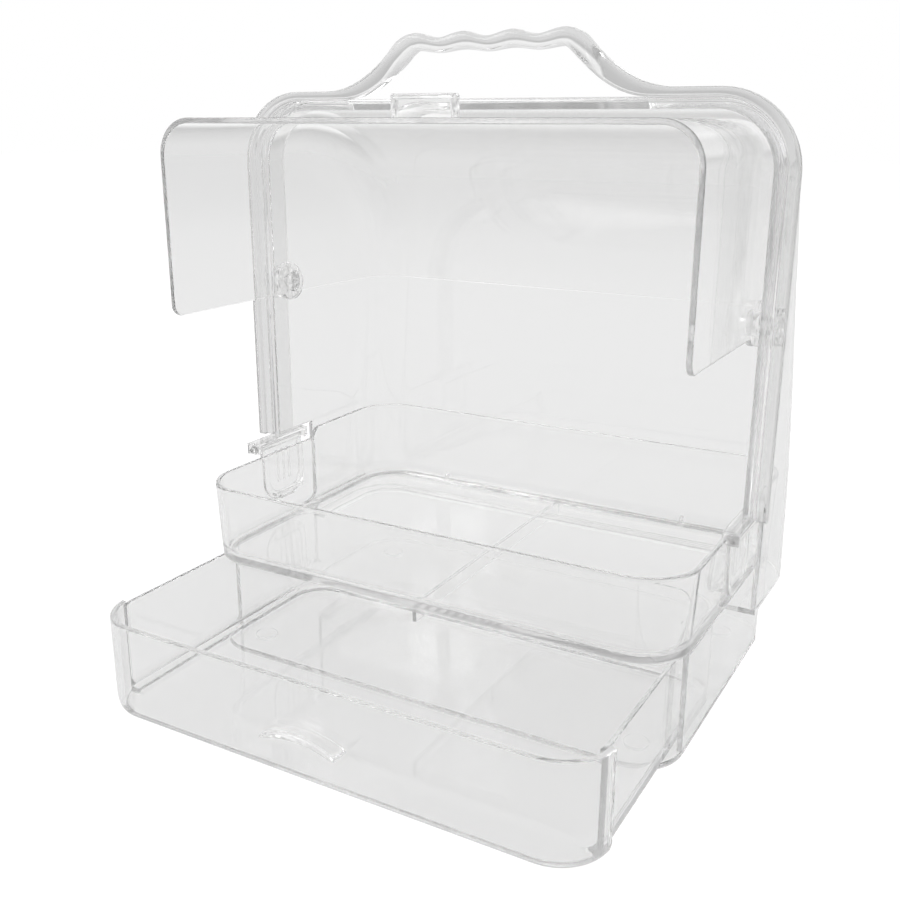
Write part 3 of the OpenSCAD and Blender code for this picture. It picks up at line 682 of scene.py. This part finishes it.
opening = np.flatnonzero(on_top & (np.abs(outer_line[:, 0]) < HOLE_W / 2 + HOLE_SHOULDER_W + 0.5))
surfaces = [inner_strip, outer_strip, inner_strip[opening][:, [-1, 0]], outer_strip[opening][:, [-1, 0]]]
ends = [np.concatenate([inner_strip[i], outer_strip[i]]) for i in (0, -1)]
put("handle_frame", [*(grid(surface, closed=False, caps=False) for surface in surfaces),
                     *((end, [list(range(len(end)))]) for end in ends)], clear_frame)

# %% [markdown]
# ## Hinges
# Each hinge is a pin with a head inside the lid, a wide disc that keeps the lid off the cover, and a cap
# on the outside. All are profiles turned about the hinge axis, with small rounded edges that catch the
# light.

# %% Pins, bushes and caps
PIN_R, BORE_R, DISC_R, CAP_R = 4.0, 4.05, 10.5, 8.5

# (distance from the middle of the box, radius)
pin = [(126.3, 0.01), (126.3, 4.9), (126.5, 5.6), (127.1, 6.0), (128.7, 6.0), (129.1, 5.8), (129.3, 5.4),
       (129.3, PIN_R), (142.9, PIN_R), (143.2, PIN_R - 0.3), (143.2, 0.01)]
disc = [(132.2, BORE_R), (132.2, DISC_R - 0.8), (132.4, DISC_R - 0.2), (132.9, DISC_R), (135.7, DISC_R),
        (136.2, DISC_R - 0.2), (136.4, DISC_R - 0.8), (136.4, BORE_R), (132.2, BORE_R)]
cap = [(141.2, BORE_R), (141.2, CAP_R - 0.3), (141.5, CAP_R), (143.2, CAP_R), (143.9, 8.0), (144.2, 7.2),
       (143.9, 5.6), (144.2, 4.4), (144.2, 0.01), (143.25, 0.01), (143.25, BORE_R), (141.2, BORE_R)]
for side, name in ((-1, "left"), (1, "right")):
    for node, profile in (("hinge_pin", pin), ("hinge_spacer", disc), ("hinge_cap", cap)):
        shape = turned([(side * out, r) for out, r in profile], (0, HINGE_Y, HINGE_Z), "x")
        put(f"{node}_{name}", [shape], clear_solid)

# %% [markdown]
# ## Side clips
# Under each leg of the frame a small block holds a U-shaped tongue on a pin. The tongue has three upright
# ribs for the finger and a hook behind it that catches under a rib on the tray.

# %% Brackets, tongues and pins
BRACKET_HALF, BRACKET_WALL, BRACKET_LOW_Z, BRACKET_TOP_Z = 23.0, 3.0, 97.1, 103.3
TONGUE_HALF, TONGUE_R, TONGUE_TOP_Z, TONGUE_LOW_Z = 18.0, 12.0, 101.1, 66.1
HOLLOW_HALF, HOLLOW_R, HOLLOW_TOP_Z, HOLLOW_LOW_Z = 13.0, 8.0, 94.0, 71.1
RIB_W, RIB_STEP = 1.4, 5.0


def tongue_outline(half, r, low, top):
    """U seen from the side, about the clip's place: down, round two quarter circles, and up."""
    return np.concatenate([[[CLIP_Y - half, top]], arc(CLIP_Y - half + r, low + r, r, 180, 270, 8),
                           arc(CLIP_Y + half - r, low + r, r, 270, 360, 8), [[CLIP_Y + half, top]]])


def rod(half, r, edge):
    """Profile of a round rod with small rounded edges."""
    right = [(half - edge, r), (half, r - edge), (half, 0.01)]
    return [(-along, radius) for along, radius in reversed(right)] + right


bridge = [[CLIP_Y + side * out, z] for side, out, z in (
    (-1, BRACKET_HALF, BRACKET_LOW_Z), (-1, BRACKET_HALF, BRACKET_TOP_Z), (1, BRACKET_HALF, BRACKET_TOP_Z),
    (1, BRACKET_HALF, BRACKET_LOW_Z), (1, BRACKET_HALF - BRACKET_WALL, BRACKET_LOW_Z),
    (1, BRACKET_HALF - BRACKET_WALL, 101.9), (-1, BRACKET_HALF - BRACKET_WALL, 101.9),
    (-1, BRACKET_HALF - BRACKET_WALL, BRACKET_LOW_Z))]
tongue = tongue_outline(TONGUE_HALF, TONGUE_R, TONGUE_LOW_Z, TONGUE_TOP_Z)
hollow = tongue_outline(HOLLOW_HALF, HOLLOW_R, HOLLOW_LOW_Z, HOLLOW_TOP_Z)
for side, name in ((-1, "left"), (1, "right")):
    axis = (side * CLIP_X, CLIP_Y, CLIP_Z)
    put(f"clip_bracket_{name}", [plate(bridge, *both_ways(side, 133.0, 141.0), "x")], clear_shell, edge=0.3,
        segments=2)
    clip = [plate(tongue, *both_ways(side, 134.4, 135.8), "x"),
            box(*both_ways(side, 134.6, 138.2), CLIP_Y - TONGUE_HALF, CLIP_Y + TONGUE_HALF, 98.2, 100.0),
            turned(rod(19.5, 2.5, 0.3), axis, "y", 24),
            box(*both_ways(side, 132.8, 134.6), CLIP_Y - 6, CLIP_Y + 6, TONGUE_LOW_Z, 69.2)]
    # the raised rim: four lines, each at a distance out and a share of the way from tongue to hollow
    rim = np.array([np.column_stack([np.full(len(tongue), side * x), tongue + share * (hollow - tongue)])
                    for x, share in ((135.6, 0), (136.6, 0.1), (136.6, 0.7), (135.6, 0.95))])
    clip.append(grid(rim.transpose(1, 0, 2)))
    for y in (CLIP_Y - RIB_STEP, CLIP_Y, CLIP_Y + RIB_STEP):
        clip.append(box(*both_ways(side, 135.6, 136.4), y - RIB_W / 2, y + RIB_W / 2, 76, 95))
    put(f"side_clip_{name}", clip, clear_shell, edge=0.25, segments=2)
    put(f"clip_pin_{name}", [turned(rod(BRACKET_HALF, 1.3, 0.2), axis, "y", 24)], clear_solid)

# %% [markdown]
# ## Feet
# Four soft discs with a rounded lower edge, turned about an upright axis.

# %% Feet
FOOT_X, FOOT_FRONT, FOOT_REAR = 108.5, 22.0, 155.0
foot = [(1.96, 0.01), (1.96, 5.7), (1.8, 6.0), (0.7, 6.0), (0.2, 5.7), (0.0, 5.1), (0.0, 0.01)]
for x, side in ((-FOOT_X, "left"), (FOOT_X, "right")):
    for y, end in ((FOOT_FRONT, "front"), (FOOT_REAR, "rear")):
        put(f"foot_{end}_{side}", [turned(foot, (x, y, 0), "z")], soft_clear)

# %% [markdown]
# ## Floor, light and camera
# A pale floor, three large soft lamps and a bright world. What the camera sees directly behind the object
# is white; what is seen through or mirrored in the plastic is a little greyer, as it is in front of a
# real studio background, so the clear body stands out by itself.

# %% Floor
def stage_plane(name, corners):
    mesh = bpy.data.meshes.new(name)
    mesh.from_pydata(corners, [], [[0, 1, 2, 3]])
    plane = bpy.data.objects.new(name, mesh)
    bpy.context.scene.collection.objects.link(plane)
    return plane


FLOOR_NEAR, FLOOR_FAR = 0.0, 0.23       # glow seen or mirrored in the plastic, at the two ends of its fade
FADE_START, FADE_END = -0.6, 2.7        # metres from the middle; the first is below 0, so a little is there
FLOOR_SEEN = 0.27                       # glow that only the camera sees, which brings the floor to white
FLOOR_HALF, FLOOR_Z = 8, -0.0001
floor = stage_plane("floor", [(x * FLOOR_HALF, y * FLOOR_HALF, FLOOR_Z)
                              for x, y in ((-1, -1), (1, -1), (1, 1), (-1, 1))])
pale = bpy.data.materials.new("pale floor")
pale.use_nodes = True
tree = pale.node_tree
matte, output = tree.nodes["Principled BSDF"], tree.nodes["Material Output"]
matte.inputs["Base Color"].default_value = (0.7, 0.7, 0.7, 1)
matte.inputs["Roughness"].default_value = 1.0
matte.inputs["Specular IOR Level"].default_value = 0.0
glow, add, path = add_nodes(tree, "Emission", "AddShader", "LightPath")
where, reach, fade = add_nodes(tree, "TexCoord", "VectorMath", "MapRange")
seen, looks, base, total = add_nodes(tree, "Math", "Math", "Math", "Math")
reach.operation, fade.interpolation_type = "LENGTH", "SMOOTHSTEP"
fade.inputs["From Min"].default_value, fade.inputs["From Max"].default_value = FADE_START, FADE_END
fade.inputs["To Min"].default_value, fade.inputs["To Max"].default_value = FLOOR_NEAR, FLOOR_FAR
looks.operation = seen.operation = "MAXIMUM"
base.operation, total.operation = "MULTIPLY", "MULTIPLY_ADD"
base.inputs[1].default_value = FLOOR_SEEN
link(tree, [(where.outputs["Object"], reach.inputs[0]), (reach.outputs["Value"], fade.inputs["Value"]),
            (path.outputs["Is Transmission Ray"], looks.inputs[0]),
            (path.outputs["Is Glossy Ray"], looks.inputs[1]),
            (looks.outputs[0], seen.inputs[0]), (path.outputs["Is Camera Ray"], seen.inputs[1]),
            (path.outputs["Is Camera Ray"], base.inputs[0]), (fade.outputs["Result"], total.inputs[0]),
            (seen.outputs[0], total.inputs[1]), (base.outputs[0], total.inputs[2]),
            (total.outputs[0], glow.inputs["Strength"]), (matte.outputs[0], add.inputs[0]),
            (glow.outputs[0], add.inputs[1]), (add.outputs[0], output.inputs["Surface"])])
floor.data.materials.append(pale)
print("floor added")

# %% World
SKY_BEHIND = 0.75      # grey seen straight through the plastic


def grey_ramp(ramp, stops):
    """Grey levels of a ramp over the height of a direction: 0 is level, 1 straight up."""
    levels = ramp.color_ramp.elements
    while len(levels) < len(stops):
        levels.new(0.5)
    for element, (at, grey) in zip(levels, stops):
        element.position, element.color = at, (grey, grey, grey, 1)


world = bpy.data.worlds.new("studio")
bpy.context.scene.world = world
world.use_nodes = True
tree = world.node_tree
tree.nodes.clear()
seen, shown, path = add_nodes(tree, "Background", "Background", "LightPath")
mix, out = add_nodes(tree, "MixShader", "OutputWorld")
where, split, ramp, mirrored = add_nodes(tree, "TexCoord", "SeparateXYZ", "ValToRGB", "ValToRGB")
choose, behind = add_nodes(tree, "Mix", "Mix")
choose.data_type = behind.data_type = "RGBA"
behind.inputs["A"].default_value = (SKY_BEHIND, SKY_BEHIND, SKY_BEHIND, 1)
grey_ramp(ramp, [(0.3, 0.77), (1.0, 0.35)])
grey_ramp(mirrored, [(0.0, 0.76), (0.08, 0.55), (0.14, 1.05), (0.35, 0.9), (1.0, 0.45)])
seen.inputs["Color"].default_value = (1, 1, 1, 1)
link(tree, [(where.outputs["Generated"], split.inputs[0]), (split.outputs["Z"], ramp.inputs["Fac"]),
            (split.outputs["Z"], mirrored.inputs["Fac"]),
            (path.outputs["Is Transmission Ray"], behind.inputs["Factor"]),
            (ramp.outputs["Color"], behind.inputs["B"]),
            (path.outputs["Is Glossy Ray"], choose.inputs["Factor"]),
            (behind.outputs["Result"], choose.inputs["A"]), (mirrored.outputs["Color"], choose.inputs["B"]),
            (choose.outputs["Result"], shown.inputs["Color"]),
            (path.outputs["Is Camera Ray"], mix.inputs["Fac"]),
            (shown.outputs[0], mix.inputs[1]), (seen.outputs[0], mix.inputs[2]),
            (mix.outputs[0], out.inputs["Surface"])])
print("world ready")

# %% Lamps
def soft_lamp(name, place, aim, width, height, watts):
    data = bpy.data.lights.new(name, "AREA")
    data.shape, data.size, data.size_y, data.energy = "RECTANGLE", width, height, watts
    lamp = bpy.data.objects.new(name, data)
    bpy.context.scene.collection.objects.link(lamp)
    back = np.array(place, float) - aim
    back /= np.linalg.norm(back)
    side = np.cross([0, 0, 1], back)
    side /= np.linalg.norm(side)
    turn_to = np.column_stack([side, np.cross(back, side), back])
    lamp.matrix_world = Matrix.Translation(place) @ Matrix(turn_to.tolist()).to_4x4()
    return lamp


soft_lamp("key", (-1.3, -1.2, 1.6), (0, 0, 0.15), 1.2, 1.2, 11)
FILL_AIM = (0, 0, 0.12)
for name, place, width, watts in (("fill", (1.6, -0.9, 1.0), 1.0, 5.5), ("top", (0.1, 0.6, 1.9), 1.4, 9.5)):
    lamp = soft_lamp(name, place, FILL_AIM, width, 1.0, watts)
    # these two light the floor, and are not mirrored in the flat plastic
    lamp.visible_glossy = lamp.visible_transmission = False
print("lamps ready")

# %% Camera
CAMERA_PLACE = (0.24606, -0.43700, 0.27852)
yaw, pitch, roll = (math.radians(a) for a in (29.71, 17.22, 0.14))
forward = np.array([-math.sin(yaw) * math.cos(pitch), math.cos(yaw) * math.cos(pitch), -math.sin(pitch)])
level = np.array([math.cos(yaw), math.sin(yaw), 0])
upward = np.cross(level, forward)
across_view = level * math.cos(roll) + upward * math.sin(roll)
upward = np.cross(across_view, forward)
lens = bpy.data.cameras.new("view")
lens.lens, lens.sensor_width, lens.clip_start = 42.25, 36.0, 0.01
camera = bpy.data.objects.new("view", lens)
bpy.context.scene.collection.objects.link(camera)
facing = Matrix(np.column_stack([across_view, upward, -forward]).tolist()).to_4x4()
camera.matrix_world = Matrix.Translation(CAMERA_PLACE) @ facing
bpy.context.scene.camera = camera
print("camera at", CAMERA_PLACE)

# %% [markdown]
# ## Light paths
# A line of sight through this object meets twenty or more faces, so the render is allowed many bounces.

# %% Render limits and finish
cycles = bpy.context.scene.cycles
cycles.max_bounces, cycles.transmission_bounces, cycles.transparent_max_bounces = 96, 96, 48
cycles.glossy_bounces, cycles.diffuse_bounces = 64, 3
bpy.context.scene.view_settings.view_transform = "Standard"
bpy.context.view_layer.update()
